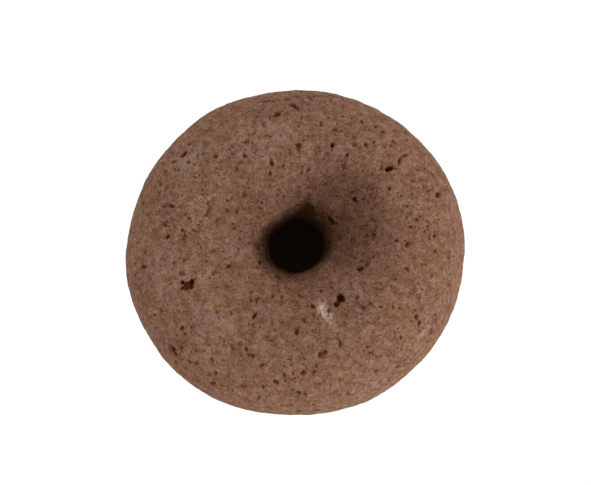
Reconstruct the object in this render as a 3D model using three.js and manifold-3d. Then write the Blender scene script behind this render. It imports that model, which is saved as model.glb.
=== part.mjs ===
// Donut stone: one ring of vesicular lava, pecked and ground to shape, lying flat.
// The bore narrows halfway through. A shallow dish is worn into the crown beside its upper mouth.
// Millimetres, +Z up. The origin is the centre of the box round the stone, on the surface it lies on.

import * as THREE from 'three';
import { mergeVertices } from 'three/addons/utils/BufferGeometryUtils.js';
import Module from 'manifold-3d';

const DEG = Math.PI / 180;

// The body
const GIRTH_DIAMETER = 117.5; // mean of the plan outline, at the widest level
const GIRTH_HEIGHT = 27; // the widest level, above the surface the stone lies on
const HEIGHT = 54;
const SHOULDER_FULLNESS = 2.6; // exponent of the outer curve: 2 is an ellipse, more is squarer

// The plan outline is a circle with lobes: how many go round, how far each stands out, and the
// direction of the first crest in degrees from +X.
const OUTLINE_LOBES = [
  { count: 2, rise: 1.16, crest: 9.2 },
  { count: 3, rise: 0.15, crest: 104.9 },
  { count: 4, rise: 0.21, crest: 28 },
  { count: 5, rise: 0.11, crest: 18.7 },
  { count: 6, rise: 0.15, crest: 6.2 },
  { count: 7, rise: 0.19, crest: 28.9 },
  { count: 8, rise: 0.07, crest: 18.5 },
  { count: 10, rise: 0.09, crest: 9 },
];

// The crown isn't quite level: it sways by this much, twice round, highest in this direction.
const CROWN_SWAY = 0.5;
const CROWN_HIGH_SIDE = 250;

// It also dips a little towards the bore, all the way round.
const CROWN_HOLLOW_DEPTH = 1.5;
const CROWN_HOLLOW_DIAMETER = 90;

// The bore
const BORE_X = 0.25;
const BORE_Y = 2.2;
const NECK_DIAMETER = 19;
const NECK_HEIGHT = 26;
const UPPER_MOUTH_DIAMETER = 64; // the ring where the lip ends and the shoulder starts
const LIP_FULLNESS = 3.5; // exponent of the curve from the neck up to that ring

// The underside
const REST_INNER_DIAMETER = 46; // the flat that the stone lies on, measured round the bore's axis
const REST_WIDTH = 15;
const HEEL_FULLNESS = 2.2;
const LOWER_LIP_FULLNESS = 2.0;

// The worn dish beside the upper mouth
const DISH_X = 14.6;
const DISH_Y = 11.2;
const DISH_LENGTH = 36;
const DISH_WIDTH = 29;
const DISH_TURN = -68;
const DISH_DEPTH = 7;
const DISH_FLATNESS = 4; // exponent of its fall: more gives a flatter floor and a sharper rim

// The largest vesicles in the crown. Each is placed by its direction from the bore's axis and its
// share of the way out from the neck to the outline. Then come the length and width of its mouth,
// its depth, and the turn of its length. Angles are in degrees from +X.
const VESICLES = [
  { direction: 202.7, out: 0.617, length: 3.4, width: 2.5, depth: 2.2, turn: 20 },
  { direction: 202.2, out: 0.566, length: 3.2, width: 2.4, depth: 2.6, turn: 75 },
  { direction: 308.7, out: 0.299, length: 3.7, width: 2.7, depth: 2.8, turn: 118 },
  { direction: 282.8, out: 0.611, length: 4.2, width: 2.0, depth: 1.7, turn: 30 },
  { direction: 37.2, out: 0.64, length: 3.2, width: 1.7, depth: 2.2, turn: 12 },
  { direction: 107.1, out: 0.385, length: 2.6, width: 1.9, depth: 1.4, turn: 127 },
  { direction: 98.2, out: 0.761, length: 2.6, width: 1.6, depth: 1.6, turn: 19 },
  { direction: 326.3, out: 0.832, length: 3.1, width: 1.3, depth: 1.4, turn: 83 },
  { direction: 241.7, out: 0.393, length: 2.9, width: 1.3, depth: 1.6, turn: 37 },
  { direction: 18, out: 0.85, length: 2.3, width: 1.4, depth: 1.5, turn: 17 },
];

// How finely the stone is faceted: columns round it, and rows on each stretch of its section
const COLUMNS = 92;
const ROWS = { lip: 8, shoulder: 13, heel: 8, rest: 2, lowerLip: 7 };
const VESICLE_SIDES = 9;

const STONE_COLOUR = '#79594a';
const STONE_ROUGHNESS = 0.95;

// Distance from the stone's middle to its plan outline.
function outlineRadius(angle) {
  return OUTLINE_LOBES.reduce(
    (radius, lobe) => radius + lobe.rise * Math.cos(lobe.count * (angle - lobe.crest * DEG)),
    GIRTH_DIAMETER / 2
  );
}

// Distance from the bore's axis to the plan outline. The two middles differ by little, so a few
// corrections along the ray settle it.
function reachFromBore(angle) {
  let reach = GIRTH_DIAMETER / 2;
  for (let step = 0; step < 8; step++) {
    const x = BORE_X + reach * Math.cos(angle);
    const y = BORE_Y + reach * Math.sin(angle);
    reach += outlineRadius(Math.atan2(y, x)) - Math.hypot(x, y);
  }
  return reach;
}

// A rounded corner: 0 at share 0, where it stands upright, and 1 at share 1, where it is level.
function roundedRise(share, fullness) {
  return Math.pow(1 - Math.pow(1 - share, fullness), 1 / fullness);
}

// Shares along such a corner that space its points evenly round the curve.
function roundedShares(count, fullness) {
  return Array.from({ length: count }, (_, i) => {
    const turn = ((i + 1) / count) * 90 * DEG;
    return 1 - Math.pow(Math.cos(turn), 2 / fullness);
  });
}

// Depth of the dish below the crown: a smooth oval hollow that fades out at its rim.
function dishDepth(x, y) {
  const along = (x - DISH_X) * Math.cos(DISH_TURN * DEG) + (y - DISH_Y) * Math.sin(DISH_TURN * DEG);
  const across = (y - DISH_Y) * Math.cos(DISH_TURN * DEG) - (x - DISH_X) * Math.sin(DISH_TURN * DEG);
  const out = Math.hypot(along / (DISH_LENGTH / 2), across / (DISH_WIDTH / 2));
  return DISH_DEPTH * Math.exp(-Math.pow(out, DISH_FLATNESS));
}

// Depth of the crown's dip towards the bore: level in the middle and at its rim.
function crownHollow(x, y) {
  const out = Math.min(1, Math.hypot(x - BORE_X, y - BORE_Y) / (CROWN_HOLLOW_DIAMETER / 2));
  return CROWN_HOLLOW_DEPTH * Math.pow(1 - out * out, 2);
}

// Height that the crown would have with no bore and no shoulder.
function crownHeight(x, y) {
  const sway = CROWN_SWAY * Math.cos(2 * (Math.atan2(y, x) - CROWN_HIGH_SIDE * DEG));
  const swayReach = Math.min(1, Math.hypot(x, y) / (GIRTH_DIAMETER / 2));
  return HEIGHT + sway * swayReach - crownHollow(x, y) - dishDepth(x, y);
}

// Point of the upper surface at a distance from the bore's axis.
function upperPoint(angle, distance, reach) {
  const x = BORE_X + distance * Math.cos(angle);
  const y = BORE_Y + distance * Math.sin(angle);
  const neck = NECK_DIAMETER / 2;
  const crest = UPPER_MOUTH_DIAMETER / 2;
  const onLip = distance < crest;
  const foot = onLip ? NECK_HEIGHT : GIRTH_HEIGHT;
  const rise = onLip
    ? roundedRise((distance - neck) / (crest - neck), LIP_FULLNESS)
    : roundedRise((reach - distance) / (reach - crest), SHOULDER_FULLNESS);
  return new THREE.Vector3(x, y, foot + rise * (crownHeight(x, y) - foot));
}

// Point of the upper surface in a direction, at a share of the way out from neck to outline.
function upperPointAt(angle, out) {
  const reach = reachFromBore(angle);
  const neck = NECK_DIAMETER / 2;
  return upperPoint(angle, neck + out * (reach - neck), reach);
}

// Outward normal of the upper surface at such a point.
function upperNormalAt(angle, out) {
  const step = 0.01;
  const outward = upperPointAt(angle, out + step).sub(upperPointAt(angle, out - step));
  const onward = upperPointAt(angle + step, out).sub(upperPointAt(angle - step, out));
  return outward.cross(onward).normalize();
}

// Point of the underside at a distance from the bore's axis.
function lowerPoint(angle, distance, reach) {
  const x = BORE_X + distance * Math.cos(angle);
  const y = BORE_Y + distance * Math.sin(angle);
  const neck = NECK_DIAMETER / 2;
  const restInner = REST_INNER_DIAMETER / 2;
  const restOuter = restInner + REST_WIDTH;
  if (distance <= restInner) {
    const share = (distance - neck) / (restInner - neck);
    return new THREE.Vector3(x, y, NECK_HEIGHT * (1 - roundedRise(share, LOWER_LIP_FULLNESS)));
  }
  if (distance <= restOuter) return new THREE.Vector3(x, y, 0);
  const share = (reach - distance) / (reach - restOuter);
  return new THREE.Vector3(x, y, GIRTH_HEIGHT * (1 - roundedRise(share, HEEL_FULLNESS)));
}

// One closed section of the ring, in the upright plane through the bore's axis. It goes from the
// neck up over the lip, out over the shoulder to the girth, under the heel and back up the bore.
function section(angle) {
  const reach = reachFromBore(angle);
  const neck = NECK_DIAMETER / 2;
  const crest = UPPER_MOUTH_DIAMETER / 2;
  const restInner = REST_INNER_DIAMETER / 2;
  const restOuter = restInner + REST_WIDTH;
  const points = [upperPoint(angle, neck, reach)];
  for (const share of roundedShares(ROWS.lip, LIP_FULLNESS)) {
    points.push(upperPoint(angle, neck + share * (crest - neck), reach));
  }
  for (const share of roundedShares(ROWS.shoulder, SHOULDER_FULLNESS).slice(0, -1).reverse()) {
    points.push(upperPoint(angle, reach - share * (reach - crest), reach));
  }
  points.push(upperPoint(angle, reach, reach));
  for (const share of roundedShares(ROWS.heel, HEEL_FULLNESS)) {
    points.push(lowerPoint(angle, reach - share * (reach - restOuter), reach));
  }
  for (let row = 1; row <= ROWS.rest; row++) {
    points.push(lowerPoint(angle, restOuter - (row / ROWS.rest) * REST_WIDTH, reach));
  }
  for (const share of roundedShares(ROWS.lowerLip, LOWER_LIP_FULLNESS).slice(0, -1).reverse()) {
    points.push(lowerPoint(angle, neck + share * (restInner - neck), reach));
  }
  return points;
}

// The ring as one closed surface: its sections, joined all the way round.
function ringGeometry() {
  const sections = Array.from({ length: COLUMNS }, (_, i) => section((i / COLUMNS) * 360 * DEG));
  const rows = sections[0].length;
  const index = [];
  for (let column = 0; column < COLUMNS; column++) {
    const here = column * rows;
    const next = ((column + 1) % COLUMNS) * rows;
    for (let row = 0; row < rows; row++) {
      const up = (row + 1) % rows;
      index.push(here + row, here + up, next + row, next + row, here + up, next + up);
    }
  }
  const geometry = new THREE.BufferGeometry().setFromPoints(sections.flat());
  geometry.setIndex(index);
  return geometry;
}

// The rounded hollow that a vesicle leaves, standing square to the crown.
function vesicleGeometry({ direction, out, length, width, depth, turn }) {
  const geometry = new THREE.SphereGeometry(1, VESICLE_SIDES, VESICLE_SIDES - 3);
  geometry.rotateX(90 * DEG);
  geometry.scale(length / 2, width / 2, depth);
  geometry.rotateZ(turn * DEG);
  const upright = new THREE.Vector3(0, 0, 1);
  const normal = upperNormalAt(direction * DEG, out);
  geometry.applyQuaternion(new THREE.Quaternion().setFromUnitVectors(upright, normal));
  const mouth = upperPointAt(direction * DEG, out);
  geometry.translate(mouth.x, mouth.y, mouth.z);
  return geometry;
}

// A closed geometry as a solid that can be cut.
function solidOf(wasm, geometry) {
  const bare = geometry.clone();
  bare.deleteAttribute('normal');
  bare.deleteAttribute('uv');
  const merged = mergeVertices(bare, 1e-4);
  return new wasm.Manifold(
    new wasm.Mesh({
      numProp: 3,
      vertProperties: merged.attributes.position.array,
      triVerts: new Uint32Array(merged.index.array),
    })
  );
}

// A solid back as a geometry, with its underside on Z = 0 and its box centred on the Z axis.
function seatedGeometry(solid) {
  const mesh = solid.getMesh();
  const geometry = new THREE.BufferGeometry();
  geometry.setAttribute('position', new THREE.BufferAttribute(mesh.vertProperties, 3));
  geometry.setIndex(new THREE.BufferAttribute(mesh.triVerts, 1));
  geometry.computeBoundingBox();
  const { min, max } = geometry.boundingBox;
  geometry.translate(-(min.x + max.x) / 2, -(min.y + max.y) / 2, -min.z);
  geometry.computeVertexNormals();
  return geometry;
}

async function stoneMesh() {
  const wasm = await Module();
  wasm.setup();
  const solid = VESICLES.reduce(
    (stone, vesicle) => stone.subtract(solidOf(wasm, vesicleGeometry(vesicle))),
    solidOf(wasm, ringGeometry())
  );
  const material = new THREE.MeshStandardMaterial({
    color: STONE_COLOUR,
    roughness: STONE_ROUGHNESS,
    metalness: 0,
  });
  const mesh = new THREE.Mesh(seatedGeometry(solid), material);
  mesh.name = 'stone_ring';
  return mesh;
}

const donutStone = new THREE.Group();
donutStone.add(await stoneMesh());

export default donutStone;
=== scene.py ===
"""A donut stone lying flat: a ring of vesicular lava, pecked and ground to shape.

The stone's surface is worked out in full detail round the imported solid, with its vesicles as real
hollows, and dressed in a matt lava finish. A pale floor, soft lights and a camera that looks down
on it as the photograph does complete the scene.

Shapes are worked out in millimetres. Every Blender mesh is in metres.
"""

from __future__ import annotations

import itertools
import logging
import math
from dataclasses import dataclass, field
from enum import Enum

import bpy
import numpy as np
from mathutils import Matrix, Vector

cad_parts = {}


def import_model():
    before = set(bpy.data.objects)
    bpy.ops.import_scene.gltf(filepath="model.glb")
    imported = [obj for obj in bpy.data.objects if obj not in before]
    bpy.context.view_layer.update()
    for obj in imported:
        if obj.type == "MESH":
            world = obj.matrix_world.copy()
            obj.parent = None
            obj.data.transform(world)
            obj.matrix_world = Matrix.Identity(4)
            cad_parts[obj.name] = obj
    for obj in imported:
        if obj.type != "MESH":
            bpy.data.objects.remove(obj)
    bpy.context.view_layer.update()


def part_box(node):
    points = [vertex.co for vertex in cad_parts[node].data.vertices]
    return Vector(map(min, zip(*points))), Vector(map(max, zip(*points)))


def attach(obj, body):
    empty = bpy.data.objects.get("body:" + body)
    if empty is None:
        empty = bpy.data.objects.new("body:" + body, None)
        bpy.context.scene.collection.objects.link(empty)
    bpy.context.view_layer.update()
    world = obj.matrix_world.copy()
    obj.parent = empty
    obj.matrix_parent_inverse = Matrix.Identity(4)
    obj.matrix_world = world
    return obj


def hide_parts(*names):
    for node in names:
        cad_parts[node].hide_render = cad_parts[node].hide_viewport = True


MM = 0.001
NODE = "stone_ring"
PIECE = "lava_ring"

PHOTO_WIDTH = 591
PHOTO_HEIGHT = 485

log = logging.getLogger("donut_stone")


class Mark(Enum):
    """What the surface carries besides plain lava, painted shade among it, each as a named value at
    every point.
    """

    HOLLOW = "hollow"
    CHALK = "chalk"
    FILM = "film"
    WEAR_AND_SHADE = "wear_and_shade"
    BORE_SHADE = "bore_shade"
    TONE = "tone"


def linear(code: str) -> tuple[float, float, float, float]:
    """Turns a colour written as #rrggbb into the linear values that shaders take.

    Args:
        code: The colour as it looks on a screen.

    Returns:
        Red, green, blue and an alpha of 1.
    """
    shown = [int(code[i : i + 2], 16) / 255 for i in (1, 3, 5)]
    made = [v / 12.92 if v <= 0.04045 else ((v + 0.055) / 1.055) ** 2.4 for v in shown]
    return (*made, 1.0)


def smooth_step(low: float, high: float, values: np.ndarray) -> np.ndarray:
    """Goes from 0 at low to 1 at high, level at both ends: t * t * (3 - 2t).

    Args:
        low: Where it leaves 0.
        high: Where it reaches 1.
        values: The values to grade.

    Returns:
        The graded values, from 0 to 1.
    """
    share = np.clip((values - low) / (high - low), 0.0, 1.0)
    return share * share * (3.0 - 2.0 * share)


class LatticeNoise:
    """Smooth unevenness in space: random values on a cubic lattice, blended between corners."""

    SIDE = 48
    FINER = 0.47
    WEAKER = 0.5
    SHIFT = 17.3

    def __init__(self, seed: int) -> None:
        """Draws the lattice's values.

        Args:
            seed: Gives the same lattice each time.
        """
        shape = (self.SIDE, self.SIDE, self.SIDE)
        self.values = np.random.default_rng(seed).uniform(-1.0, 1.0, shape)

    def at(self, points: np.ndarray, wavelength: float) -> np.ndarray:
        """Blends the eight lattice values round each point, weighted by a smooth step each way.

        Args:
            points: Places in millimetres, with x, y and z last.
            wavelength: Size of one lattice cell in millimetres.

        Returns:
            One value for each point, from -1 to 1.
        """
        scaled = points / wavelength
        cell = np.floor(scaled).astype(np.int64)
        part = smooth_step(0.0, 1.0, scaled - cell)
        total = np.zeros(points.shape[:-1])
        for corner in itertools.product((0, 1), repeat=3):
            step = np.array(corner)
            weight = np.prod(np.where(step == 1, part, 1.0 - part), axis=-1)
            x, y, z = np.moveaxis((cell + step) % self.SIDE, -1, 0)
            total += weight * self.values[x, y, z]
        return total

    def layered(self, points: np.ndarray, wavelength: float, layers: int) -> np.ndarray:
        """Adds finer and weaker layers: each has FINER times the wavelength and half the height.

        Args:
            points: Places in millimetres.
            wavelength: Cell size of the coarsest layer in millimetres.
            layers: How many layers there are.

        Returns:
            One value for each point, mostly within -1 to 1.
        """
        total = np.zeros(points.shape[:-1])
        for layer in range(layers):
            shifted = points + self.SHIFT * layer
            total += self.at(shifted, wavelength * self.FINER**layer) * self.WEAKER**layer
        return total


@dataclass(frozen=True)
class Lobe:
    """One set of lobes round the plan outline, as a cosine."""

    count: int
    rise: float
    crest: float


@dataclass(frozen=True)
class Vesicle:
    """A single hollow, placed by the photograph's pixel at the middle of its mouth.

    Lengths are in millimetres. turn is in degrees from the photograph's right, anticlockwise.
    """

    px: float
    py: float
    length: float
    width: float
    depth: float
    turn: float


@dataclass(frozen=True)
class Deposit:
    """A mark laid on the surface, pale or a painted shade: a soft-edged band between two pixels.

    Both ends are pixels of the photograph, and the width is in millimetres.
    """

    mark: Mark
    start: tuple[float, float]
    end: tuple[float, float]
    width: float
    strength: float
    raggedness: float


@dataclass(frozen=True)
class Patch:
    """A broad soft patch painted paler, or darker where the tone is below 0.

    Its reach is in millimetres, and its middle is a pixel of the photograph.
    """

    px: float
    py: float
    reach: float
    tone: float


@dataclass
class CopyCamera:
    """The camera over the stone, with the photograph's frame."""

    aim: Vector
    elevation: float = 84.0
    distance: float = 850.0
    width_seen: float = 209.4
    up_shift: float = 3.69
    right_shift: float = 0.08
    sensor: float = 36.0
    back: Vector = field(init=False)
    up: Vector = field(init=False)
    place: Vector = field(init=False)

    def __post_init__(self) -> None:
        """Works out where the camera stands, in millimetres."""
        tilt = math.radians(self.elevation)
        self.back = Vector((0.0, -math.cos(tilt), math.sin(tilt)))
        self.up = Vector((0.0, math.sin(tilt), math.cos(tilt)))
        aside = Vector((self.right_shift, 0.0, 0.0))
        self.place = self.aim + self.back * self.distance + self.up * self.up_shift + aside

    def ray(self, px: float, py: float) -> Vector:
        """Direction in which the camera sees a pixel of the photograph.

        Args:
            px: Pixels from the photograph's left side.
            py: Pixels from its top.

        Returns:
            The direction, in the stone's frame.
        """
        per_pixel = self.width_seen / self.distance / PHOTO_WIDTH
        across = (px - PHOTO_WIDTH / 2) * per_pixel
        above = (PHOTO_HEIGHT / 2 - py) * per_pixel
        return (Vector((across, 0.0, 0.0)) + self.up * above - self.back).normalized()

    def build(self) -> bpy.types.Object:
        """Makes the camera and hands it to the scene.

        Returns:
            The camera object.
        """
        data = bpy.data.cameras.new("copy_camera")
        data.sensor_width = self.sensor
        data.lens = self.sensor * self.distance / self.width_seen
        data.clip_start = 0.01
        data.clip_end = 50.0
        camera = bpy.data.objects.new("copy_camera", data)
        camera.location = self.place * MM
        camera.rotation_mode = "QUATERNION"
        camera.rotation_quaternion = (-self.back).to_track_quat("-Z", "Y")
        bpy.context.scene.collection.objects.link(camera)
        bpy.context.scene.camera = camera
        return camera


@dataclass
class StoneForm:
    """The stone's smooth form: its plan outline, its section, the bore and the worn dish.

    Lengths are in millimetres, and directions in degrees from +X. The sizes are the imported
    solid's own, and seat() fits the whole form to its box. The runs are rough lengths along the
    section, by which the grid's rows are shared out.
    """

    COARSE_GRID = (360, 240)
    REACH_STEPS = 8
    SEEKING_STEPS = 40
    WITHIN_OUTLINE = 0.999

    girth_diameter: float = 117.5
    girth_height: float = 27.0
    height: float = 54.0
    shoulder_fullness: float = 2.6
    # Worked out from the harmonics that a measuring script found in the photograph's outline.
    lobes: tuple[Lobe, ...] = (
        Lobe(2, 1.16, 9.2),
        Lobe(3, 0.15, 104.9),
        Lobe(4, 0.21, 28.0),
        Lobe(5, 0.11, 18.7),
        Lobe(6, 0.15, 6.2),
        Lobe(7, 0.19, 28.9),
        Lobe(8, 0.07, 18.5),
        Lobe(10, 0.09, 9.0),
    )
    crown_sway: float = 0.5
    crown_high_side: float = 250.0
    crown_hollow_depth: float = 1.5
    crown_hollow_diameter: float = 90.0
    bore_x: float = 0.25
    bore_y: float = 2.2
    neck_diameter: float = 19.0
    neck_height: float = 26.0
    upper_mouth_diameter: float = 64.0
    lip_fullness: float = 3.5
    rest_inner_diameter: float = 46.0
    rest_width: float = 15.0
    heel_fullness: float = 2.2
    lower_lip_fullness: float = 2.0
    dish_x: float = 14.6
    dish_y: float = 11.2
    dish_length: float = 36.0
    dish_width: float = 29.0
    dish_turn: float = -68.0
    dish_depth: float = 7.0
    dish_flatness: float = 4.0
    lip_run: float = 32.0
    shoulder_run: float = 50.0
    heel_run: float = 36.0
    lower_lip_run: float = 31.0
    offset: np.ndarray = field(default_factory=lambda: np.zeros(3))
    stretch: np.ndarray = field(default_factory=lambda: np.ones(3))

    def seat(self, low: Vector, high: Vector) -> None:
        """Fits the form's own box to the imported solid's box.

        Args:
            low: The solid's lowest corner in millimetres.
            high: Its highest corner.
        """
        points = self.grid(*self.COARSE_GRID)
        own_low, own_high = points.min((0, 1)), points.max((0, 1))
        self.stretch = (np.array(high) - np.array(low)) / (own_high - own_low)
        self.offset = np.array(low) - own_low * self.stretch

    def outline_radius(self, angle: np.ndarray) -> np.ndarray:
        """Distance from the middle to the plan outline: a circle plus a cosine for each lobe set.

        Args:
            angle: Directions from the middle, in radians.

        Returns:
            The distances in millimetres.
        """
        radius = np.full_like(angle, self.girth_diameter / 2)
        for lobe in self.lobes:
            radius += lobe.rise * np.cos(lobe.count * (angle - math.radians(lobe.crest)))
        return radius

    def reach(self, angle: np.ndarray) -> np.ndarray:
        """Distance from the bore's axis to the plan outline, settled by repeated correction.

        Args:
            angle: Directions from the bore's axis, in radians.

        Returns:
            The distances in millimetres.
        """
        reach = np.full_like(angle, self.girth_diameter / 2)
        for _ in range(self.REACH_STEPS):
            x = self.bore_x + reach * np.cos(angle)
            y = self.bore_y + reach * np.sin(angle)
            reach += self.outline_radius(np.arctan2(y, x)) - np.hypot(x, y)
        return reach

    @staticmethod
    def rounded_rise(share: np.ndarray, fullness: float) -> np.ndarray:
        """A rounded corner: the height (1 - (1 - s)^n)^(1/n) at the share s of the way in.

        Args:
            share: 0 where the corner stands upright and 1 where it is level.
            fullness: The exponent n: 2 is an ellipse, more is squarer.

        Returns:
            The heights, from 0 to 1.
        """
        inner = np.clip(1.0 - share, 0.0, 1.0)
        return np.power(1.0 - np.power(inner, fullness), 1.0 / fullness)

    def dish_fall(self, x: np.ndarray, y: np.ndarray) -> np.ndarray:
        """Depth of the dish: exp(-q^flatness), where q is the share of the way to its oval rim.

        Args:
            x: Places in plan.
            y: Places in plan.

        Returns:
            The depths below the crown in millimetres.
        """
        turn = math.radians(self.dish_turn)
        along = (x - self.dish_x) * math.cos(turn) + (y - self.dish_y) * math.sin(turn)
        across = (y - self.dish_y) * math.cos(turn) - (x - self.dish_x) * math.sin(turn)
        out = np.hypot(along / (self.dish_length / 2), across / (self.dish_width / 2))
        return self.dish_depth * np.exp(-np.power(out, self.dish_flatness))

    def crown_height(self, x: np.ndarray, y: np.ndarray) -> np.ndarray:
        """Height that the crown would have with no bore and no shoulder.

        Args:
            x: Places in plan.
            y: Places in plan.

        Returns:
            The full height, plus a sway twice round, less the dish and a broad hollow, which is
            (1 - q^2)^2 of its depth at the share q of the way to its rim.
        """
        turn = np.arctan2(y, x) - math.radians(self.crown_high_side)
        sway_reach = np.minimum(1.0, np.hypot(x, y) / (self.girth_diameter / 2))
        out = np.hypot(x - self.bore_x, y - self.bore_y) / (self.crown_hollow_diameter / 2)
        hollow = self.crown_hollow_depth * np.square(1.0 - np.square(np.minimum(out, 1.0)))
        sway = self.crown_sway * np.cos(2 * turn) * sway_reach
        return self.height + sway - hollow - self.dish_fall(x, y)

    def upper_point(self, angle: np.ndarray, distance: np.ndarray, reach: np.ndarray) -> np.ndarray:
        """Points of the upper surface: inside the mouth ring they climb from the neck, and
        outside it they climb from the girth, each along a rounded corner.

        Args:
            angle: Directions from the bore's axis, in radians.
            distance: Distances from that axis.
            reach: Distances to the outline in those directions.

        Returns:
            The points, with x, y and z last.
        """
        x = self.bore_x + distance * np.cos(angle)
        y = self.bore_y + distance * np.sin(angle)
        neck, crest = self.neck_diameter / 2, self.upper_mouth_diameter / 2
        on_lip = distance < crest
        foot = np.where(on_lip, self.neck_height, self.girth_height)
        lip = self.rounded_rise((distance - neck) / (crest - neck), self.lip_fullness)
        shoulder = self.rounded_rise((reach - distance) / (reach - crest), self.shoulder_fullness)
        rise = np.where(on_lip, lip, shoulder)
        return np.stack([x, y, foot + rise * (self.crown_height(x, y) - foot)], axis=-1)

    def lower_point(self, angle: np.ndarray, distance: np.ndarray, reach: np.ndarray) -> np.ndarray:
        """Points of the underside: a lip round the lower mouth, the level rest, and the heel.

        Args:
            angle: Directions from the bore's axis, in radians.
            distance: Distances from that axis.
            reach: Distances to the outline in those directions.

        Returns:
            The points, with x, y and z last.
        """
        x = self.bore_x + distance * np.cos(angle)
        y = self.bore_y + distance * np.sin(angle)
        neck, inner = self.neck_diameter / 2, self.rest_inner_diameter / 2
        outer = inner + self.rest_width
        lip = self.rounded_rise((distance - neck) / (inner - neck), self.lower_lip_fullness)
        heel = self.rounded_rise((reach - distance) / (reach - outer), self.heel_fullness)
        z = np.where(distance > outer, self.girth_height * (1.0 - heel), 0.0)
        z = np.where(distance < inner, self.neck_height * (1.0 - lip), z)
        return np.stack([x, y, z], axis=-1)

    @staticmethod
    def corner_shares(count: int, fullness: float, backwards: bool = False) -> np.ndarray:
        """Steps along a rounded corner, close where it is steep: 1 - cos(t)^(2/n), with t going
        through a quarter turn.

        Args:
            count: How many steps there are.
            fullness: The corner's exponent n.
            backwards: Whether they run from its level end to its upright one.

        Returns:
            The shares of the way in, as one row.
        """
        steps = np.arange(count, 0, -1) if backwards else np.arange(count)
        turn = steps / count * np.pi / 2
        return (1.0 - np.power(np.cos(turn), 2.0 / fullness))[None, :]

    def grid(self, columns: int, rows: int) -> np.ndarray:
        """The whole ring on a grid: columns go round the bore's axis and rows round the section.

        The section runs from the neck over the lip and shoulder to the girth, and back by the
        heel, the rest and the lower lip. Each stretch gets rows in proportion to its length.

        Args:
            columns: How many columns there are.
            rows: How many rows there are.

        Returns:
            Points (columns, rows, 3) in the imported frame.
        """
        angle = np.linspace(0.0, 2.0 * np.pi, columns, endpoint=False)[:, None]
        reach = self.reach(angle)
        neck, crest = self.neck_diameter / 2, self.upper_mouth_diameter / 2
        inner = self.rest_inner_diameter / 2
        outer = inner + self.rest_width
        runs = [self.lip_run, self.shoulder_run, self.heel_run, self.rest_width, self.lower_lip_run]
        counts = np.round(rows * np.array(runs) / sum(runs)).astype(int)
        counts[1] += rows - counts.sum()

        lip = neck + self.corner_shares(counts[0], self.lip_fullness) * (crest - neck)
        over = self.corner_shares(counts[1], self.shoulder_fullness, backwards=True)
        shoulder = reach - over * (reach - crest)
        heel = reach - self.corner_shares(counts[2], self.heel_fullness) * (reach - outer)
        rest = outer - (np.arange(counts[3]) / counts[3])[None, :] * self.rest_width
        under = self.corner_shares(counts[4], self.lower_lip_fullness, backwards=True)
        lower_lip = neck + under * (inner - neck)
        wide = np.ones_like(reach)
        upper = np.concatenate([lip * wide, shoulder], axis=1)
        lower = np.concatenate([heel, rest * wide, lower_lip * wide], axis=1)
        points = np.concatenate(
            [self.upper_point(angle, upper, reach), self.lower_point(angle, lower, reach)], axis=1
        )
        return points * self.stretch + self.offset

    def seen_at(self, camera: CopyCamera, px: float, py: float) -> np.ndarray:
        """Place on the crown that the camera sees at a pixel: the ray is carried to the surface's
        height below its last place, until the two agree.

        Args:
            camera: The camera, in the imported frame.
            px: Pixels from the photograph's left side.
            py: Pixels from its top.

        Returns:
            The place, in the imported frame.
        """
        start, ray = np.array(camera.place), np.array(camera.ray(px, py))
        height = self.height
        place = start
        for _ in range(self.SEEKING_STEPS):
            place = start + ray * (height - start[2]) / ray[2]
            own = (place - self.offset) / self.stretch
            angle = np.arctan2(own[1] - self.bore_y, own[0] - self.bore_x)
            angle = np.array([angle])
            reach = self.reach(angle)
            distance = np.hypot(own[0] - self.bore_x, own[1] - self.bore_y)
            farthest = reach * self.WITHIN_OUTLINE
            distance = np.clip(np.array([distance]), self.neck_diameter / 2, farthest)
            own = self.upper_point(angle, distance, reach)[0]
            height = 0.5 * height + 0.5 * (own * self.stretch + self.offset)[2]
        return place


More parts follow.
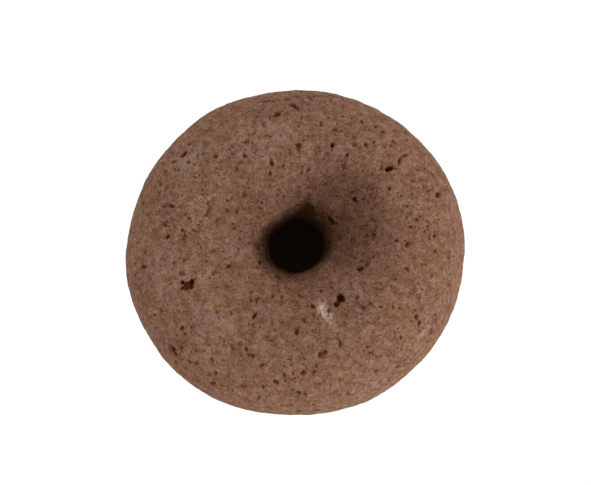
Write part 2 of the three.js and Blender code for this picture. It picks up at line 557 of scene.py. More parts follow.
class NodeSheet:
    """A material's node tree, with short ways to add and join nodes."""

    def __init__(self, material: bpy.types.Material) -> None:
        """Starts from an empty tree.

        Args:
            material: The material to fill.
        """
        material.use_nodes = True
        self.tree = material.node_tree
        self.tree.nodes.clear()

    def add(self, kind: str, settings: dict | None = None, **inputs: object) -> bpy.types.Node:
        """Adds a node.

        Args:
            kind: The node's type name, without ShaderNode.
            settings: Values for the node's own properties.
            **inputs: Values or output sockets for its inputs, by name with _ for spaces, or by
                number, as in in_1.

        Returns:
            The new node.
        """
        node = self.tree.nodes.new("ShaderNode" + kind)
        for name, value in (settings or {}).items():
            setattr(node, name, value)
        for name, value in inputs.items():
            socket = self.socket(node, name)
            if isinstance(value, bpy.types.NodeSocket):
                self.tree.links.new(value, socket)
            else:
                socket.default_value = value
        return node

    @staticmethod
    def socket(node: bpy.types.Node, name: str) -> bpy.types.NodeSocket:
        """Finds an input of a node.

        Args:
            node: The node.
            name: The input's name with _ for spaces, or in_ and its number.

        Returns:
            The input.
        """
        if name.startswith("in_"):
            return node.inputs[int(name[3:])]
        return node.inputs[name.replace("_", " ")]

    def maths(self, operation: str, *values: object) -> bpy.types.NodeSocket:
        """One operation on the given values or sockets, with no clamp."""
        inputs = {f"in_{i}": v for i, v in enumerate(values)}
        return self.add("Math", {"operation": operation}, **inputs).outputs[0]

    def graded(
        self, value: object, low: float, high: float, start: float = 0.0, end: float = 1.0
    ) -> bpy.types.NodeSocket:
        """Maps a value smoothly from one range to another.

        Args:
            value: The value or socket to map.
            low: The value that gives start.
            high: The value that gives end.
            start: The result at low and beyond it.
            end: The result at high and beyond it.

        Returns:
            The result's socket.
        """
        node = self.add(
            "MapRange",
            {"interpolation_type": "SMOOTHSTEP"},
            Value=value,
            From_Min=low,
            From_Max=high,
            To_Min=start,
            To_Max=end,
        )
        return node.outputs["Result"]

    def mixed(
        self, share: object, below: object, above: object, blend: str = "MIX"
    ) -> bpy.types.NodeSocket:
        """Mixes two colours by a share.

        Args:
            share: How much of the colour above is laid on, from 0 to 1.
            below: The colour underneath.
            above: The colour laid on.
            blend: How it is laid on: MIX covers, MULTIPLY tints.

        Returns:
            The mixed colour's socket.
        """
        node = self.add(
            "Mix",
            {"data_type": "RGBA", "blend_type": blend},
            in_0=share,
            in_6=below,
            in_7=above,
        )
        return node.outputs[2]

    def noise(
        self, place: object, size: float, detail: float = 3.0, roughness: float = 0.55
    ) -> bpy.types.NodeSocket:
        """Cloudy noise from 0 to 1.

        Args:
            place: The place in millimetres.
            size: About how large its patches are, in millimetres.
            detail: How many finer layers it has.
            roughness: How strong the finer layers are.

        Returns:
            The noise's socket.
        """
        node = self.add(
            "TexNoise",
            {"noise_dimensions": "3D"},
            Vector=place,
            Scale=1.0 / size,
            Detail=detail,
            Roughness=roughness,
        )
        return node.outputs[0]

    def mark(self, mark: Mark) -> bpy.types.NodeSocket:
        """The surface's own value for a mark."""
        node = self.add("Attribute", {"attribute_name": mark.value})
        return node.outputs["Fac"]


@dataclass(frozen=True)
class LavaFinish:
    """The matt brown lava: mottled tan and mauve, with dark pores, pale crumbs and deposits.

    The rim's colour is a tint that multiplies the ground round a pore, the first step of the painted
    shade and dirt in it. Sizes are in millimetres.
    """

    tan: str = "#805e48"
    mauve: str = "#7e5c4b"
    rust: str = "#67452f"
    rim: str = "#cfa884"
    shadow: str = "#331003"
    crumb: str = "#a08069"
    chalk: str = "#c4ab9a"
    film: str = "#8f7b71"
    # The colour of the painted shade and wear in the dish and round the bore's mouth.
    worn_and_shaded: str = "#4e3123"
    # The colour of the painted shade down the bore.
    bore_shade: str = "#261004"
    mottle_size: float = 9.0
    stain_size: float = 1.7
    speck_size: float = 0.8
    blotch_size: float = 2.6
    grain_size: float = 0.62
    crumb_size: float = 1.15
    patchy_size: float = 1.1
    relief_size: float = 0.55
    relief_depth: float = 0.22
    relief_strength: float = 0.85
    pore_fall: float = -0.8
    sheen_size: float = 1.6
    tone_swing: float = 0.3
    red_grain: float = 0.65
    blue_grain: float = 1.25
    roughness: float = 0.93
    shine: float = 0.1

    def build(self) -> bpy.types.Material:
        """Makes the material.

        Returns:
            The material, which reads the stone's marks and its own place in millimetres.
        """
        material = bpy.data.materials.new("vesicular_lava")
        sheet = NodeSheet(material)
        coords = sheet.add("TexCoord").outputs["Object"]
        place = sheet.add(
            "VectorMath", {"operation": "SCALE"}, Vector=coords, Scale=1.0 / MM
        ).outputs[0]

        ground = self.ground_colour(sheet, place)
        pores, pore_fall = self.small_pores(sheet, place)
        # Painted shade and dirt in the pores: a tint round each, then the shadow colour where they are
        # darkest.
        hollow = sheet.mark(Mark.HOLLOW)
        pore_shade_and_grime = sheet.maths("MAXIMUM", hollow, pores)
        patchy = sheet.graded(sheet.noise(place, self.patchy_size, 4.0, 0.7), 0.34, 0.66)
        film = sheet.maths("MULTIPLY", sheet.mark(Mark.FILM), patchy)
        ground = sheet.mixed(film, ground, linear(self.film))
        shaded_round_pores = sheet.mixed(
            sheet.graded(pore_shade_and_grime, 0.0, 0.6, 0.0, 0.8), ground, linear(self.rim), "MULTIPLY"
        )
        colour = sheet.mixed(sheet.graded(pore_shade_and_grime, 0.4, 1.0, 0.0, 0.9), shaded_round_pores, linear(self.shadow))
        crust = sheet.maths("MULTIPLY", sheet.mark(Mark.CHALK), patchy)
        colour = sheet.mixed(crust, colour, linear(self.chalk))

        # No shine in the painted shade and dirt of the pores and in the painted shade down the bore.
        dull = sheet.maths("MAXIMUM", pore_shade_and_grime, sheet.mark(Mark.BORE_SHADE))
        grain = sheet.noise(place, self.relief_size, 4.0, 0.65)
        fall = sheet.maths("MULTIPLY", pore_fall, self.pore_fall)
        relief = sheet.maths("ADD", grain, fall)
        bump = sheet.add(
            "Bump", Height=relief, Distance=self.relief_depth * MM, Strength=self.relief_strength
        )
        sheen = sheet.noise(place, self.sheen_size, 2.0)
        rough = sheet.graded(sheen, 0.3, 0.7, self.roughness - 0.08, 1.0)
        shader = sheet.add(
            "BsdfPrincipled",
            Base_Color=colour,
            Roughness=rough,
            Specular_IOR_Level=sheet.graded(dull, 0.0, 0.4, self.shine, 0.0),
            Normal=bump.outputs[0],
        )
        sheet.add("OutputMaterial", Surface=shader.outputs[0])
        return material

    def ground_colour(self, sheet: NodeSheet, place: object) -> bpy.types.NodeSocket:
        """Colour of the lava: broad mottles of tan and mauve, rusty stains, painted shade and wear in
        the dish and round the bore's mouth, painted shade down the bore, and a grain of darker and
        lighter specks.

        Args:
            sheet: The material's nodes.
            place: The place in millimetres.

        Returns:
            The colour.
        """
        broad = sheet.graded(sheet.noise(place, self.mottle_size, 4.0, 0.6), 0.36, 0.64)
        ground = sheet.mixed(broad, linear(self.mauve), linear(self.tan))
        stains = sheet.noise(place, self.stain_size, 3.0, 0.6)
        stain = sheet.graded(stains, 0.55, 0.69, 0.0, 0.62)
        ground = sheet.mixed(stain, ground, linear(self.rust))
        # Painted shade and wear in the dish and round the bore's mouth.
        ground = sheet.mixed(sheet.mark(Mark.WEAR_AND_SHADE), ground, linear(self.worn_and_shaded))
        # Painted shade down the bore, darkest at the neck.
        ground = sheet.mixed(sheet.mark(Mark.BORE_SHADE), ground, linear(self.bore_shade))
        grains = sheet.add(
            "TexVoronoi", {"feature": "F1"}, Vector=place, Scale=1.0 / self.grain_size
        )
        grain = sheet.add("SeparateColor", Color=grains.outputs["Color"]).outputs[0]
        specks = sheet.noise(place, self.speck_size, 3.0, 0.7)
        speck = sheet.graded(specks, 0.3, 0.7, 0.76, 1.23)
        blotches = sheet.noise(place, self.blotch_size, 3.0, 0.6)
        blotch = sheet.graded(blotches, 0.3, 0.7, 0.72, 1.26)
        shade = sheet.maths("MULTIPLY", speck, blotch)
        shade = sheet.maths("MULTIPLY", shade, sheet.graded(grain, 0.0, 1.0, 0.77, 1.22))
        tone = sheet.maths("MULTIPLY_ADD", sheet.mark(Mark.TONE), self.tone_swing, 1.0)
        shade = sheet.maths("MULTIPLY", shade, tone)
        red = sheet.maths("POWER", shade, self.red_grain)
        blue = sheet.maths("POWER", shade, self.blue_grain)
        tint = sheet.add("CombineColor", Red=red, Green=shade, Blue=blue).outputs[0]
        ground = sheet.mixed(1.0, ground, tint, "MULTIPLY")
        crumbs = sheet.add(
            "TexVoronoi", {"feature": "F1"}, Vector=place, Scale=1.0 / self.crumb_size
        )
        picked = sheet.add("SeparateColor", Color=crumbs.outputs["Color"]).outputs[0]
        near = sheet.graded(crumbs.outputs["Distance"], 0.30, 0.12)
        lit = sheet.maths("MULTIPLY", near, sheet.graded(picked, 0.86, 0.98, 0.0, 0.4))
        return sheet.mixed(lit, ground, linear(self.crumb))

    def small_pores(
        self, sheet: NodeSheet, place: object
    ) -> tuple[bpy.types.NodeSocket, bpy.types.NodeSocket]:
        """Pores too small for the mesh: round dots, one to a cell, of which only some are open.

        Args:
            sheet: The material's nodes.
            place: The place in millimetres.

        Returns:
            How dark the pores' painted shade and dirt is, and how deep they fall, both from 0 to 1.
        """
        wobble = sheet.add("TexNoise", Vector=place, Scale=2.6, Detail=2.0).outputs["Color"]
        bent = sheet.add(
            "Mix",
            {"data_type": "RGBA", "blend_type": "LINEAR_LIGHT"},
            in_0=0.4,
            in_6=place,
            in_7=wobble,
        ).outputs[2]
        cells = sheet.add("TexVoronoi", {"feature": "F1"}, Vector=bent, Scale=0.82)
        parts = sheet.add("SeparateColor", Color=cells.outputs["Color"])
        crowd = sheet.graded(sheet.noise(place, 7.0, 2.0), 0.36, 0.66, 0.04, 0.34)
        open_share = sheet.maths("ADD", parts.outputs[0], crowd)
        radius = sheet.graded(open_share, 0.62, 1.2, 0.0, 0.36)
        gap = sheet.maths("SUBTRACT", radius, cells.outputs["Distance"])
        return sheet.graded(gap, -0.09, 0.24, 0.0, 0.72), sheet.graded(gap, -0.06, 0.2)


@dataclass
class StoneSurface:
    """The stone's surface in full detail: the smooth form, its unevenness, vesicles and marks.

    Lengths are in millimetres. Each noise is read a stated way off, as 101.0, so that no two
    kinds of unevenness line up.
    """

    RIM_RAGGEDNESS = 0.55
    BOWL_POWER = 0.7
    DARKEST_HOLLOW = 0.92
    HOLLOW_SHADE = 0.2
    HOLLOW_SHADE_PER_MM = 0.29
    WINDOW_SHARE = 0.75
    DEPOSIT_EDGE = 0.62
    DEPOSIT_CORE = 0.2

    form: StoneForm
    camera: CopyCamera
    seed: int = 711
    scatter_seed: int = 302
    crowd_shift: float = 199.0
    columns: int = 1150
    rows: int = 480
    most_triangles: int = 194_000
    broad_rise: float = 0.42
    broad_size: float = 24.0
    pecking_rise: float = 0.16
    pecking_size: float = 3.4
    grain_rise: float = 0.08
    grain_size: float = 1.1
    bore_lump_rise: float = 1.1
    bore_lump_side: float = 128.0
    bore_lump_turn: float = 24.0
    bore_lump_reach: float = 7.0
    # How much shade and wear is painted in the dish and round the bore's mouth.
    dish_wear_and_shade: float = 0.5
    mouth_wear_and_shade: float = 0.34
    mouth_wear_and_shade_reach: float = 17.0
    # How far and how strongly shade is painted down the bore.
    bore_shade_reach: float = 5.6
    bore_shade_side: float = 33.0
    bore_shade_lean: float = 0.46
    bore_shade_strength: float = 0.9
    black_reach: float = 0.9
    wear_and_shade_band: float = 8.0
    smallest_vesicle: float = 0.72
    largest_vesicle: float = 1.9
    vesicles_per_mm2: float = 0.044
    longest_mouth: float = 1.75
    shallowest: float = 0.45
    deepest: float = 0.85
    crowding: float = 0.85
    crowd_size: float = 11.0
    clear_space: float = 1.2
    # Begun from the dark spots that a measuring script found in the photograph, then set by eye.
    landmarks: tuple[Vesicle, ...] = (
        Vesicle(191.8, 281.2, 3.1, 2.5, 2.6, 60.0),
        Vesicle(190.9, 286.4, 2.5, 2.0, 2.2, 90.0),
        Vesicle(186.6, 288.3, 2.6, 1.5, 1.8, 5.0),
        Vesicle(182.5, 282.4, 2.3, 1.8, 2.0, 150.0),
        Vesicle(182.4, 288.0, 2.1, 1.4, 1.7, 20.0),
        Vesicle(187.4, 284.9, 2.7, 2.2, 1.8, 0.0),
        Vesicle(339.8, 297.0, 4.2, 3.3, 2.8, 118.0),
        Vesicle(336.1, 303.7, 2.4, 1.8, 1.7, 50.0),
        Vesicle(319.9, 355.3, 2.8, 1.9, 1.3, 68.0),
        Vesicle(325.0, 352.6, 2.8, 1.6, 1.1, 30.0),
        Vesicle(389.0, 169.0, 3.2, 1.7, 2.2, 12.0),
        Vesicle(381.3, 168.0, 2.6, 1.7, 0.8, 100.0),
        Vesicle(396.5, 168.3, 2.2, 0.8, 0.5, 4.0),
        Vesicle(271.6, 163.6, 2.6, 1.7, 1.5, 110.0),
        Vesicle(270.5, 173.4, 1.5, 1.2, 1.1, 90.0),
        Vesicle(277.0, 113.5, 2.6, 1.6, 1.6, 19.0),
        Vesicle(420.2, 323.5, 2.3, 1.5, 1.4, 82.0),
        Vesicle(254.7, 315.6, 3.3, 1.4, 1.6, 37.0),
        Vesicle(438.2, 194.6, 3.0, 1.9, 1.9, 14.0),
        Vesicle(172.4, 351.3, 4.2, 2.6, 2.1, 127.0),
        Vesicle(183.3, 153.0, 2.7, 1.9, 2.1, 58.0),
        Vesicle(292.3, 104.4, 2.7, 1.7, 1.7, 172.0),
        Vesicle(295.6, 107.0, 2.4, 1.3, 1.3, 132.0),
        Vesicle(287.5, 99.0, 2.8, 1.5, 1.5, 20.0),
        Vesicle(266.7, 101.4, 3.4, 1.4, 1.1, 10.0),
        Vesicle(332.0, 145.6, 2.3, 1.4, 1.8, 95.0),
        Vesicle(346.8, 155.3, 2.7, 1.1, 1.1, 60.0),
        Vesicle(171.2, 205.0, 2.1, 1.7, 1.4, 157.0),
        Vesicle(299.3, 145.0, 1.9, 1.6, 1.4, 134.0),
        Vesicle(360.2, 268.2, 2.6, 1.9, 2.0, 14.0),
        Vesicle(366.4, 264.3, 2.5, 1.3, 1.4, 62.0),
        Vesicle(373.1, 235.0, 2.4, 1.9, 2.2, 107.0),
        Vesicle(399.5, 160.0, 3.1, 1.2, 1.2, 72.0),
        Vesicle(330.6, 221.4, 3.2, 2.6, 2.1, 100.0),
        Vesicle(354.3, 200.0, 2.0, 1.6, 1.8, 101.0),
        Vesicle(216.2, 156.0, 1.6, 1.3, 1.3, 45.0),
        Vesicle(296.4, 332.0, 1.7, 1.5, 1.6, 90.0),
        Vesicle(182.0, 329.2, 1.8, 1.3, 1.3, 120.0),
        Vesicle(184.6, 334.2, 1.7, 1.1, 1.1, 100.0),
        Vesicle(212.8, 383.6, 3.0, 2.0, 1.9, 8.0),
        Vesicle(246.1, 349.4, 2.0, 1.1, 1.1, 100.0),
        Vesicle(329.0, 311.0, 1.9, 0.9, 0.9, 95.0),
    )
    deposits: tuple[Deposit, ...] = (
        # Painted shade in the notch above the bore and along its mouth.
        Deposit(Mark.BORE_SHADE, (298.0, 221.0), (305.5, 209.5), 8.5, 0.88, 0.35),
        Deposit(Mark.BORE_SHADE, (313.0, 222.0), (324.0, 232.0), 5.0, 0.7, 0.6),
        Deposit(Mark.CHALK, (322.6, 306.0), (324.4, 314.4), 3.9, 1.0, 0.6),
        Deposit(Mark.CHALK, (328.8, 316.0), (332.0, 320.6), 3.8, 1.0, 0.6),
        Deposit(Mark.CHALK, (419.0, 338.0), (426.0, 331.0), 0.9, 0.7, 0.4),
        Deposit(Mark.CHALK, (371.0, 361.0), (374.0, 363.0), 0.9, 0.7, 0.4),
        Deposit(Mark.FILM, (158.0, 250.0), (159.0, 298.0), 2.8, 0.65, 0.6),
        Deposit(Mark.FILM, (208.0, 317.0), (222.0, 319.0), 2.6, 0.55, 0.5),
        Deposit(Mark.FILM, (222.0, 319.0), (231.0, 328.0), 1.9, 0.8, 0.4),
        Deposit(Mark.FILM, (231.0, 328.0), (240.0, 343.0), 1.5, 0.75, 0.4),
        Deposit(Mark.FILM, (198.0, 330.0), (200.0, 348.0), 1.6, 0.6, 0.6),
        Deposit(Mark.FILM, (185.0, 165.0), (200.0, 150.0), 5.0, 0.6, 0.8),
        Deposit(Mark.FILM, (265.0, 130.0), (290.0, 128.0), 4.0, 0.5, 0.8),
    )
    patches: tuple[Patch, ...] = (
        Patch(190.0, 278.0, 13.0, 0.4),
        Patch(212.0, 338.0, 8.0, 0.55),
        Patch(197.0, 168.0, 8.0, 0.4),
        Patch(268.0, 140.0, 8.0, 0.6),
        Patch(313.0, 176.0, 7.0, 0.5),
        Patch(367.0, 397.0, 9.0, 0.75),
        Patch(411.0, 250.0, 9.0, -0.4),
        Patch(174.0, 352.0, 8.0, -0.5),
        Patch(144.0, 292.0, 5.0, -0.6),
        Patch(156.0, 192.0, 6.0, -0.4),
        Patch(255.0, 212.0, 6.0, -0.5),
        Patch(345.0, 311.0, 2.6, -0.9),
    )
    smooth: np.ndarray = field(init=False)
    outward: np.ndarray = field(init=False)
    cell_area: np.ndarray = field(init=False)
    fall: np.ndarray = field(init=False)
    marks: dict[Mark, np.ndarray] = field(init=False)

    def __post_init__(self) -> None:
        """Lays out the smooth grid that everything else is measured on."""
        self.smooth = self.form.grid(self.columns, self.rows)
        self.outward, self.cell_area = self.normals(self.smooth)
        self.fall = np.zeros(self.smooth.shape[:2])
        self.marks = {mark: np.zeros(self.smooth.shape[:2]) for mark in Mark}

    @staticmethod
    def normals(points: np.ndarray) -> tuple[np.ndarray, np.ndarray]:
        """Outward normals from the cross product of the steps across rows and along columns.

        Args:
            points: A grid that closes on itself both ways.

        Returns:
            Unit normals, and the area of each grid cell in square millimetres.
        """
        along = (np.roll(points, -1, 0) - np.roll(points, 1, 0)) / 2
        across = (np.roll(points, -1, 1) - np.roll(points, 1, 1)) / 2
        cross = np.cross(across, along)
        area = np.linalg.norm(cross, axis=-1)
        return cross / np.maximum(area, 1e-9)[..., None], area

    def roughen(self) -> np.ndarray:
        """Unevenness left by pecking and grinding: broad swells, peck marks, grain, and one lump
        at the bore's neck, which is exp(-t^2 - r^2) for the turn t from its side and the way r out.

        Returns:
            How far each point stands out of the smooth form.
        """
        noise = LatticeNoise(self.seed)
        rise = self.broad_rise * noise.layered(self.smooth, self.broad_size, 2)
        rise += self.pecking_rise * noise.layered(self.smooth + 101.0, self.pecking_size, 2)
        rise += self.grain_rise * noise.layered(self.smooth + 211.0, self.grain_size, 2)
        own = (self.smooth - self.form.offset) / self.form.stretch
        aside, ahead = own[..., 0] - self.form.bore_x, own[..., 1] - self.form.bore_y
        turn = np.degrees(np.arctan2(ahead, aside)) - self.bore_lump_side
        turn = (turn + 180.0) % 360.0 - 180.0
        out = np.hypot(aside, ahead) - self.form.neck_diameter / 2
        turn, out = turn / self.bore_lump_turn, out / self.bore_lump_reach
        lump = np.exp(-np.square(turn) - np.square(out))
        return rise + self.bore_lump_rise * lump

    def cut_vesicle(
        self,
        column: int,
        row: int,
        length: float,
        width: float,
        depth: float,
        turn: float,
        noise: LatticeNoise,
    ) -> None:
        """Sinks one hollow: depth * (1 - q^2)^BOWL_POWER, where q is the share of the way to its ragged
        oval rim, measured in the plane that touches the surface at its middle, and darkens its colour
        with painted shade and dirt.

        Args:
            column: Grid column of its middle.
            row: Grid row of its middle.
            length: Length of its mouth.
            width: Width of its mouth.
            depth: Depth at its middle.
            turn: Direction of its length, in radians.
            noise: Makes its rim ragged.
        """
        middle, up = self.smooth[column, row], self.outward[column, row]
        side = np.cross([0.0, 1.0, 0.0], up)
        if np.linalg.norm(side) < 0.3:
            side = np.cross([0.0, 0.0, 1.0], up)
        side /= np.linalg.norm(side)
        ahead = np.cross(up, side)
        first = side * math.cos(turn) + ahead * math.sin(turn)
        second = ahead * math.cos(turn) - side * math.sin(turn)
        step_round = np.linalg.norm(self.smooth[(column + 1) % self.columns, row] - middle)
        step_over = np.linalg.norm(self.smooth[column, (row + 1) % self.rows] - middle)
        span_round = min(int(length * self.WINDOW_SHARE / max(step_round, 1e-3)) + 2, self.columns // 2)
        span_over = min(int(length * self.WINDOW_SHARE / max(step_over, 1e-3)) + 2, self.rows // 2)
        near_columns = np.arange(column - span_round, column + span_round + 1) % self.columns
        near_rows = np.arange(row - span_over, row + span_over + 1) % self.rows
        window = np.ix_(near_columns, near_rows)
        near = self.smooth[window] - middle
        wobble = noise.at(self.smooth[window] + 57.0, 0.45 * width + 0.2)
        ragged = 1.0 + self.RIM_RAGGEDNESS * wobble
        out = np.hypot(near @ first / (length / 2), near @ second / (width / 2)) * ragged
        inside = np.clip(1.0 - out * out, 0.0, 1.0)
        apart = np.abs(near @ up) < length
        sunk = depth * np.power(inside, self.BOWL_POWER) * apart
        self.fall[window] = np.maximum(self.fall[window], sunk)
        # The hollow's colour is darkened with painted shade and dirt, more for a deeper hollow.
        shade = min(self.DARKEST_HOLLOW, self.HOLLOW_SHADE + self.HOLLOW_SHADE_PER_MM * depth)
        dark = np.clip(inside * 1.5, 0.0, 1.0) * shade * apart
        hollow = self.marks[Mark.HOLLOW]
        hollow[window] = np.maximum(hollow[window], dark)

    def nearest(self, place: np.ndarray) -> tuple[int, int]:
        """Grid column and row of the point nearest to a place."""
        gap = np.square(self.smooth - place).sum(-1)
        return np.unravel_index(int(gap.argmin()), gap.shape)

    def cut_landmarks(self, noise: LatticeNoise) -> None:
        """Cuts the vesicles that the photograph shows one by one.

        Args:
            noise: Makes the ragged rims.
        """
        for vesicle in self.landmarks:
            place = self.form.seen_at(self.camera, vesicle.px, vesicle.py)
            column, row = self.nearest(place)
            turn = math.radians(vesicle.turn)
            mouth = (vesicle.length, vesicle.width, vesicle.depth)
            self.cut_vesicle(column, row, *mouth, turn, noise)

    def scatter_vesicles(self, noise: LatticeNoise) -> int:
        """Cuts the many other vesicles. They crowd where a cloudy noise is high, keep clear of
        the landmarks, and for every halving of the width there are eight times as many. The
        scatter's seed was the second best of 1,500 tried against the photograph's dark spots, and
        the crowd's shift the best of 60 by another measure. Both give only a loose likeness.

        Args:
            noise: Makes the crowding and the ragged rims.

        Returns:
            How many there are.
        """
        draw = np.random.default_rng(self.scatter_seed)
        cloud = noise.layered(self.smooth + self.crowd_shift, self.crowd_size, 3)
        crowd = np.exp(self.crowding * cloud)
        for vesicle in self.landmarks:
            middle = self.form.seen_at(self.camera, vesicle.px, vesicle.py)
            apart = np.linalg.norm(self.smooth - middle, axis=-1)
            crowd = crowd * (apart > 0.5 * vesicle.length + self.clear_space)
        weight = (self.cell_area * crowd).ravel()
        count = int(self.vesicles_per_mm2 * self.cell_area.sum())
        picked = draw.choice(weight.size, count, p=weight / weight.sum())
        chance = draw.uniform(0.0, 1.0, count)
        low, high = self.smallest_vesicle**-3, self.largest_vesicle**-3
        widths = np.power(low - chance * (low - high), -1.0 / 3.0)
        lengths = widths * draw.uniform(1.0, self.longest_mouth, count)
        depths = widths * draw.uniform(self.shallowest, self.deepest, count)
        turns = draw.uniform(0.0, np.pi, count)
        for index, length, width, depth, turn in zip(picked, lengths, widths, depths, turns):
            column, row = divmod(int(index), self.rows)
            self.cut_vesicle(column, row, length, width, depth, turn, noise)
        return count

    def lay_deposits(self, noise: LatticeNoise) -> None:
        """Marks the pale deposits and the smears of painted shade by the bore: each fades from its line
        outward, from the share DEPOSIT_CORE of its width to DEPOSIT_EDGE.

        Args:
            noise: Makes their edges ragged.
        """
        ragged = noise.layered(self.smooth + 83.0, 1.9, 3)
        for deposit in self.deposits:
            start = self.form.seen_at(self.camera, *deposit.start)
            end = self.form.seen_at(self.camera, *deposit.end)
            way = end - start
            along = np.clip((self.smooth - start) @ way / max(float(way @ way), 1e-6), 0.0, 1.0)
            apart = np.linalg.norm(self.smooth - start - along[..., None] * way, axis=-1)
            apart = apart * (1.0 + deposit.raggedness * ragged)
            edge, core = deposit.width * self.DEPOSIT_EDGE, deposit.width * self.DEPOSIT_CORE
            strength = deposit.strength * smooth_step(edge, core, apart)
            layer = self.marks[deposit.mark]
            np.maximum(layer, strength, out=layer)

    def tone_patches(self) -> None:
        """Marks the broad patches: each fades as exp(-q^2), with q the share of its reach."""
        tone = self.marks[Mark.TONE]
        for patch in self.patches:
            middle = self.form.seen_at(self.camera, patch.px, patch.py)
            apart = np.linalg.norm(self.smooth - middle, axis=-1) / patch.reach
            tone += patch.tone * np.exp(-np.square(apart))

    def mark_wear_and_shade(self, noise: LatticeNoise) -> None:
        """Marks where the stone is darkened: painted shade and wear in the dish, in step with its
        depth, and round the bore's mouth, and painted shade down the bore.

        The painted shade in the bore thins out with the distance from the neck. It reaches farther to
        both ends of a line through the bore, as 1 + lean * cos(2t) at the turn t from it, and within
        black_reach of the neck it is black all round.

        Args:
            noise: Makes the edges ragged.
        """
        form = self.form
        own = (self.smooth - form.offset) / form.stretch
        # The dish is painted with shade and wear in step with its depth.
        dish = form.dish_fall(own[..., 0], own[..., 1]) / form.dish_depth
        above = smooth_step(form.girth_height, form.height - self.wear_and_shade_band, own[..., 2])
        ragged = 1.0 + 0.25 * noise.layered(self.smooth + 7.0, 4.0, 3)
        aside, ahead = own[..., 0] - form.bore_x, own[..., 1] - form.bore_y
        out = np.maximum(np.hypot(aside, ahead) - form.neck_diameter / 2, 0.0)
        # Painted shade and wear round the bore's mouth, fading away from the neck.
        round_mouth = self.mouth_wear_and_shade * np.exp(-np.square(out / self.mouth_wear_and_shade_reach))
        wear_and_shade = (self.dish_wear_and_shade * dish + round_mouth) * above * ragged
        self.marks[Mark.WEAR_AND_SHADE] = np.clip(wear_and_shade, 0.0, 1.0)
        # Painted shade down the bore, thinning away from the neck and black close to it.
        lean = np.cos(2.0 * (np.arctan2(ahead, aside) - math.radians(self.bore_shade_side)))
        far = self.bore_shade_reach * (1.0 + self.bore_shade_lean * lean) * ragged
        black = smooth_step(1.0, 0.0, out / self.black_reach)
        bore_shade = np.maximum(smooth_step(1.0, 0.0, out / far), black)
        self.marks[Mark.BORE_SHADE] = np.clip(self.bore_shade_strength * bore_shade, 0.0, 1.0)

    def shape(self) -> tuple[np.ndarray, int]:
        """Works out the finished surface: the smooth form, moved along its normals.

        Returns:
            The points of the grid, and how many vesicles were scattered.
        """
        noise = LatticeNoise(self.seed + 2)
        rise = self.roughen()
        count = self.scatter_vesicles(noise)
        self.cut_landmarks(noise)
        self.tone_patches()
        self.mark_wear_and_shade(noise)
        self.lay_deposits(noise)
        points = self.smooth + self.outward * (rise - self.fall)[..., None]
        points[..., 2] = np.maximum(points[..., 2], 0.0)
        return points, count

    def mesh(self, points: np.ndarray) -> bpy.types.Mesh:
        """Puts the grid into a mesh of four-sided faces, closed both ways, with its marks.

        Args:
            points: The grid's points in millimetres.

        Returns:
            The mesh, in metres.
        """
        columns, rows = points.shape[:2]
        column, row = np.meshgrid(np.arange(columns), np.arange(rows), indexing="ij")
        next_column, next_row = (column + 1) % columns, (row + 1) % rows
        corners = np.stack(
            [
                column * rows + row,
                column * rows + next_row,
                next_column * rows + next_row,
                next_column * rows + row,
            ],
            axis=-1,
        ).reshape(-1, 4)
        mesh = bpy.data.meshes.new(PIECE + "_grid")
        mesh.vertices.add(columns * rows)
        mesh.vertices.foreach_set("co", (points * MM).astype(np.float32).ravel())
        mesh.loops.add(corners.size)
        mesh.loops.foreach_set("vertex_index", corners.astype(np.int32).ravel())
        mesh.polygons.add(len(corners))
        mesh.polygons.foreach_set("loop_start", np.arange(0, corners.size, 4, dtype=np.int32))
        for mark, values in self.marks.items():
            layer = mesh.attributes.new(mark.value, "FLOAT", "POINT")
            layer.data.foreach_set("value", values.astype(np.float32).ravel())
        mesh.update(calc_edges=True)
        return mesh

    def build(self) -> bpy.types.Object:
        """Makes the stone: the dense grid, thinned where it is smooth, in one piece.

        Returns:
            The finished object, dressed in lava.
        """
        points, count = self.shape()
        grid = self.mesh(points)
        stone = bpy.data.objects.new(PIECE, grid)
        bpy.context.scene.collection.objects.link(stone)
        triangles = 2 * len(grid.polygons)
        thin = stone.modifiers.new("thin", "DECIMATE")
        thin.ratio = min(1.0, self.most_triangles / triangles)
        thin.use_collapse_triangulate = True
        graph = bpy.context.evaluated_depsgraph_get()
        finished = bpy.data.meshes.new_from_object(
            stone.evaluated_get(graph), preserve_all_data_layers=True, depsgraph=graph
        )
        stone.modifiers.clear()
        stone.data = finished
        finished.name = PIECE
        bpy.data.meshes.remove(grid)
        finished.polygons.foreach_set("use_smooth", np.ones(len(finished.polygons), bool))
        finished.materials.append(LavaFinish().build())
        log.info("%s: %d faces, %d scattered vesicles", PIECE, len(finished.polygons), count)
        return stone


@dataclass(frozen=True)
class SoftLight:
    """A square area light, placed and sized in metres."""

    name: str
    place: tuple[float, float, float]
    side: float
    power: float
    colour: tuple[float, float, float] = (1.0, 1.0, 1.0)

    def build(self, aim: Vector) -> bpy.types.Object:
        """Makes the light and turns it to the stone.

        Args:
            aim: The point it shines at, in metres.

        Returns:
            The light object.
        """
        data = bpy.data.lights.new(self.name, "AREA")
        data.shape = "SQUARE"
        data.size = self.side
        data.energy = self.power
        data.color = self.colour
        light = bpy.data.objects.new(self.name, data)
        light.location = self.place
        light.rotation_mode = "QUATERNION"
        light.rotation_quaternion = (aim - light.location).to_track_quat("-Z", "Y")
        bpy.context.scene.collection.objects.link(light)
        return light


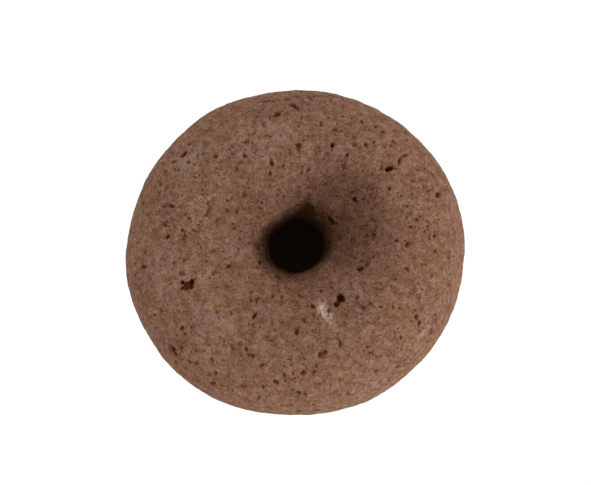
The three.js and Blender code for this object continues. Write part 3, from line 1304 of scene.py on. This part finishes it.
@dataclass
class CopyStand:
    """The studio: a white floor that glows a little, a dark card under the bore that paints the
    shadow seen through it, an even sky and two lights. Sizes are in metres.
    """

    floor_half: float = 3.0
    floor_glow: float = 0.155
    card_radius: float = 0.0205
    card_drop: float = 0.0002
    card_corners: int = 48
    sky_strength: float = 0.935
    lights: tuple[SoftLight, ...] = (
        SoftLight("low_right", (0.83, -0.83, 0.28), 0.45, 3.65),
        SoftLight("right", (1.17, 0.0, 0.28), 0.45, 3.5),
    )

    def flat_sheet(self, name: str, points: list[tuple[float, float, float]]) -> bpy.types.Object:
        """Makes one flat face that isn't part of the stone.

        Args:
            name: The object's name.
            points: Its corners, anticlockwise from above.

        Returns:
            The object.
        """
        mesh = bpy.data.meshes.new(name)
        mesh.from_pydata(points, [], [tuple(range(len(points)))])
        sheet = bpy.data.objects.new(name, mesh)
        bpy.context.scene.collection.objects.link(sheet)
        return sheet

    def build(self, aim: Vector) -> None:
        """Makes the floor, the card, the sky and the lights.

        Args:
            aim: The point that the lights shine at, in metres.
        """
        half = self.floor_half
        drop = -self.card_drop
        floor = self.flat_sheet(
            "pale_floor",
            [(-half, -half, drop), (half, -half, drop), (half, half, drop), (-half, half, drop)],
        )
        floor.data.materials.append(self.floor_finish())
        turns = np.linspace(0.0, 2.0 * np.pi, self.card_corners, endpoint=False)
        rim = [
            (float(self.card_radius * math.cos(t)), float(self.card_radius * math.sin(t)), drop / 2)
            for t in turns
        ]
        # The card is a painted shadow under the bore.
        card = self.flat_sheet("painted_bore_shadow", rim)
        card.data.materials.append(self.card_finish())
        world = bpy.data.worlds.new("soft_sky")
        world.use_nodes = True
        sky = world.node_tree.nodes["Background"]
        sky.inputs["Color"].default_value = (1.0, 1.0, 1.0, 1.0)
        sky.inputs["Strength"].default_value = self.sky_strength
        bpy.context.scene.world = world
        for light in self.lights:
            light.build(aim)

    def floor_finish(self) -> bpy.types.Material:
        """A matt white floor with a weak glow, which the camera sees as plain white.

        Returns:
            The material.
        """
        material = bpy.data.materials.new("pale_floor")
        sheet = NodeSheet(material)
        matt = sheet.add(
            "BsdfPrincipled",
            Base_Color=(0.86, 0.86, 0.86, 1.0),
            Roughness=0.9,
            Emission_Color=(1.0, 1.0, 1.0, 1.0),
            Emission_Strength=self.floor_glow,
        )
        white = sheet.add("Emission", Color=(1.0, 1.0, 1.0, 1.0), Strength=1.05)
        seen = sheet.add("LightPath").outputs["Is Camera Ray"]
        both = sheet.add("MixShader", in_0=seen, in_1=matt.outputs[0], in_2=white.outputs[0])
        sheet.add("OutputMaterial", Surface=both.outputs[0])
        return material

    def card_finish(self) -> bpy.types.Material:
        """A matt card of a very dark brown: the painted shadow under the bore.

        Returns:
            The material.
        """
        material = bpy.data.materials.new("painted_bore_shadow")
        sheet = NodeSheet(material)
        shader = sheet.add("BsdfPrincipled", Base_Color=(0.051, 0.0265, 0.012, 1.0), Roughness=1.0)
        sheet.add("OutputMaterial", Surface=shader.outputs[0])
        return material


def corners(box: tuple[Vector, Vector]) -> list[list[float]]:
    """A box's two corners as plain lists."""
    return [[float(v) for v in corner] for corner in box]


def main() -> None:
    """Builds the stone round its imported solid, and the scene round the stone."""
    logging.basicConfig(level=logging.INFO, format="%(name)s: %(message)s")
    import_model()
    low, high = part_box(NODE)
    bpy.context.scene.view_settings.view_transform = "Standard"

    form = StoneForm()
    form.seat(low / MM, high / MM)
    camera = CopyCamera(aim=Vector((0.0, 0.0, form.girth_height)))
    camera.build()
    log.info("camera: %.0f mm away", camera.distance)

    stone = StoneSurface(form, camera).build()
    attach(stone, "root")
    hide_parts(NODE)

    CopyStand().build(Vector((0.0, 0.0, form.height / 2 * MM)))
    log.info("floor, card and lights: made")


if __name__ == "__main__":
    main()
